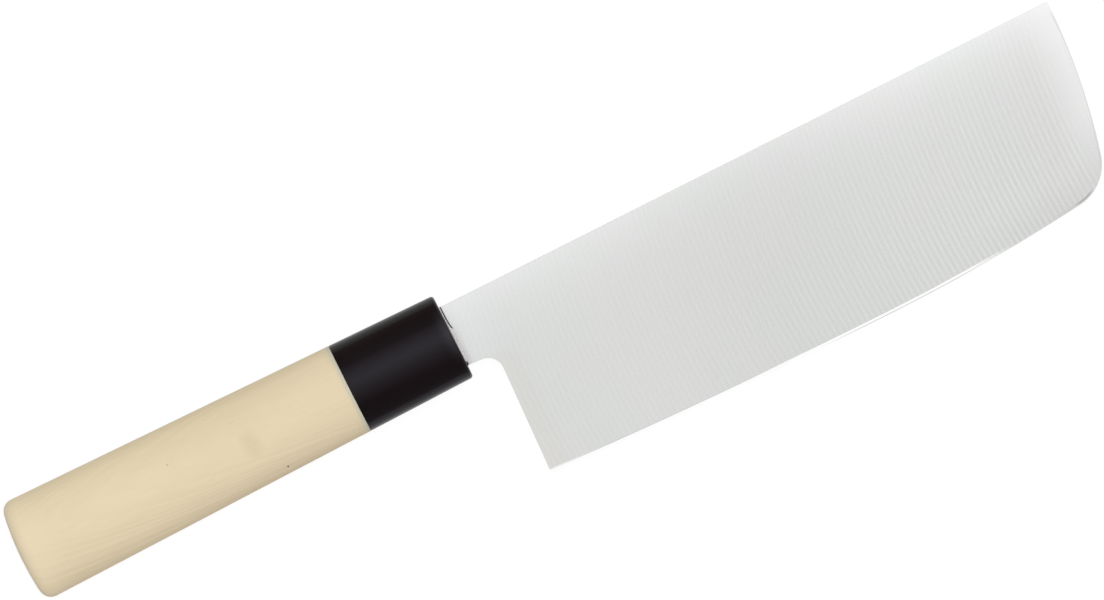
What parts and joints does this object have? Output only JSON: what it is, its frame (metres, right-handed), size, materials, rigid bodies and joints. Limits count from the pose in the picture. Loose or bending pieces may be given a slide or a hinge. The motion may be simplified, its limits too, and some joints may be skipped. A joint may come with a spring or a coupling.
{
  "type": "nakiri knife",
  "caption": "Straight-spined vegetable knife with a tall, thin ground blade, squared front end, stick tang, oval black ferrule and pale oval wooden grip.",
  "frame": {"origin": "under the middle of the whole knife as it lies on its side, on the surface that it lies on", "axes": "+X along the handle's axis and the spine, from the butt to the blade's front end; +Y from the cutting edge to the spine; +Z out of the blade's right-hand side"},
  "size_m": [0.3166, 0.0624, 0.0226],
  "materials": {
    "ground_steel": "ground across the blade from spine to edge, fine parallel lines, bright cutting bevel",
    "black_ferrule": "satin black, polished smooth",
    "pale_wood": "pale close-grained wood, sanded smooth, oiled matt",
    "bedding_resin": "cured amber resin, hidden",
    "sealant": "smooth half-clear bead"
  },
  "bodies": {
    "root": {"blade": "ground_steel", "ferrule": "black_ferrule", "grip": "pale_wood", "tang_bedding": "bedding_resin", "mouth_seal": "sealant"}
  },
  "joints": []
}
